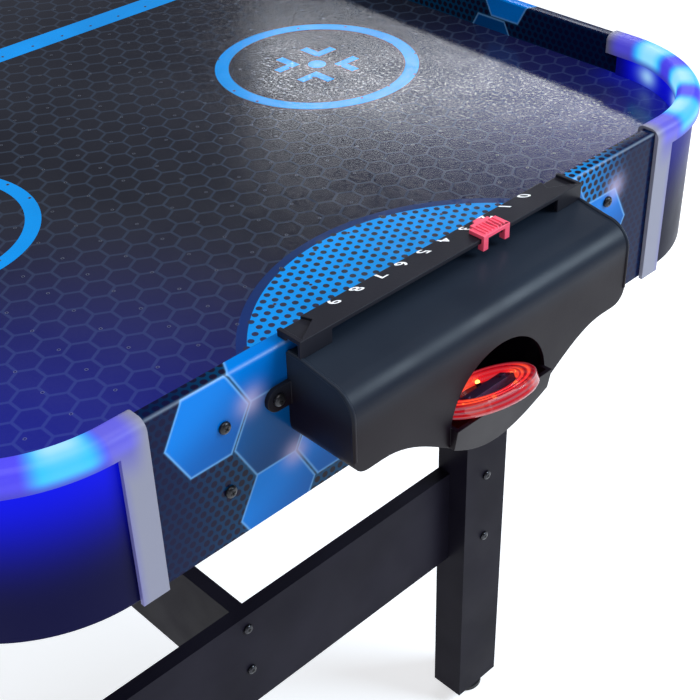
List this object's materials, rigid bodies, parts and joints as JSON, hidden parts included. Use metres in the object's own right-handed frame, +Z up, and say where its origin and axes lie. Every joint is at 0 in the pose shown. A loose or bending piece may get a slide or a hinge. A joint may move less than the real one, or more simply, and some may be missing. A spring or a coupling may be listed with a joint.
{
  "type": "air hockey table",
  "caption": "Home air hockey table with lit corners, printed low-friction field, goal boxes with puck return, slide scorers and a braced leg frame.",
  "frame": {"origin": "on the floor under the middle of the table", "axes": "+X along the length, away from the end shown in use; +Y across, to the left when looking along +X; +Z up"},
  "size_m": [1.5026, 0.692, 0.8167],
  "materials": {
    "playfield_laminate": "glossy printed laminate on board",
    "hardboard": "dark hardboard",
    "rail_wood": "raw sawn pine",
    "end_panel_laminate": "glossy printed laminate on board",
    "side_panel_laminate": "glossy printed laminate on board",
    "corner_plastic": "satin black",
    "liner_plastic": "deep blue gloss",
    "milky_plastic": "milky light diffuser",
    "led_strip": "lamp strip",
    "goal_box_plastic": "satin black",
    "scorer_plastic": "satin black",
    "slider_plastic": "red moulding",
    "puck_clear": "clear polycarbonate",
    "puck_core": "dark moulding with lamps",
    "fan_plastic": "black nylon",
    "motor_metal": "pressed steel",
    "chrome_wire": "bright wire",
    "box_plastic": "black moulding",
    "rocker_plastic": "red rocker",
    "zinc_steel": "zinc plated",
    "black_steel": "black oxide",
    "leg_laminate": "satin black foil on board",
    "stand_laminate": "satin black foil on board",
    "foot_plastic": "black moulded foot"
  },
  "bodies": {
    "table": {"playfield": "playfield_laminate", "bottom_board": "hardboard", "end_rail_near": "rail_wood", "end_rail_far": "rail_wood", "side_rail_left": "rail_wood", "side_rail_right": "rail_wood", "end_panel_near": "end_panel_laminate", "end_panel_far": "end_panel_laminate", "side_panel_left": "side_panel_laminate", "side_panel_right": "side_panel_laminate", "corner_shell_near_left": "corner_plastic", "corner_shell_near_right": "corner_plastic", "corner_shell_far_left": "corner_plastic", "corner_shell_far_right": "corner_plastic", "corner_liner_near_left": "liner_plastic", "corner_liner_near_right": "liner_plastic", "corner_liner_far_left": "liner_plastic", "corner_liner_far_right": "liner_plastic", "light_channel_near_left": "milky_plastic", "light_channel_near_right": "milky_plastic", "light_channel_far_left": "milky_plastic", "light_channel_far_right": "milky_plastic", "led_strip_near_left": "led_strip", "led_strip_near_right": "led_strip", "led_strip_far_left": "led_strip", "led_strip_far_right": "led_strip", "goal_box_near": "goal_box_plastic", "goal_box_far": "goal_box_plastic", "scorer_bar_near": "scorer_plastic", "scorer_bar_far": "scorer_plastic", "fan_frame": "fan_plastic", "fan_motor": "motor_metal", "fan_grille": "chrome_wire", "wiring_box": "box_plastic", "switch_bezel": "box_plastic", "power_inlet": "box_plastic", "leg_near_left": "leg_laminate", "leg_near_right": "leg_laminate", "leg_far_left": "leg_laminate", "leg_far_right": "leg_laminate", "end_board_near": "stand_laminate", "end_board_far": "stand_laminate", "stretcher": "stand_laminate", "leg_brackets": "zinc_steel", "panel_screws": "black_steel", "goal_box_screws": "black_steel", "leg_bolts": "black_steel", "stretcher_bolts": "black_steel", "fan_screws": "black_steel"},
    "score_slider_near": {"score_slider_near": "slider_plastic"},
    "score_slider_far": {"score_slider_far": "slider_plastic"},
    "puck": {"puck_shell": "puck_clear", "puck_core": "puck_core"},
    "blower_impeller": {"fan_impeller": "fan_plastic"},
    "switch_rocker": {"switch_rocker": "rocker_plastic"},
    "leveler_near_left": {"leveler_near_left": "foot_plastic"},
    "leveler_near_right": {"leveler_near_right": "foot_plastic"},
    "leveler_far_left": {"leveler_far_left": "foot_plastic"},
    "leveler_far_right": {"leveler_far_right": "foot_plastic"}
  },
  "joints": [
    {"name": "score_near", "type": "slide", "parent": "table", "child": "score_slider_near", "axis": [0, 1, 0], "range_m": [-0.046, 0.1196]},
    {"name": "score_far", "type": "slide", "parent": "table", "child": "score_slider_far", "axis": [0, -1, 0], "range_m": [0, 0.1656]},
    {"name": "puck_take_out", "type": "slide", "parent": "table", "child": "puck", "axis": [-0.891, 0, 0.454], "range_m": [0, 0.085]},
    {"name": "blower_spin", "type": "hinge", "parent": "table", "child": "blower_impeller", "pos_m": [0, 0, 0.685], "axis": [0, 0, 1], "continuous": true},
    {"name": "power_rocker", "type": "hinge", "parent": "table", "child": "switch_rocker", "pos_m": [0.228, 0.307, 0.6835], "axis": [1, 0, 0], "range_deg": [-24, 0]},
    {"name": "level_near_left", "type": "slide", "parent": "table", "child": "leveler_near_left", "axis": [0, 0, -1], "range_m": [0, 0.01]},
    {"name": "level_near_right", "type": "slide", "parent": "table", "child": "leveler_near_right", "axis": [0, 0, -1], "range_m": [0, 0.01]},
    {"name": "level_far_left", "type": "slide", "parent": "table", "child": "leveler_far_left", "axis": [0, 0, -1], "range_m": [0, 0.01]},
    {"name": "level_far_right", "type": "slide", "parent": "table", "child": "leveler_far_right", "axis": [0, 0, -1], "range_m": [0, 0.01]}
  ]
}
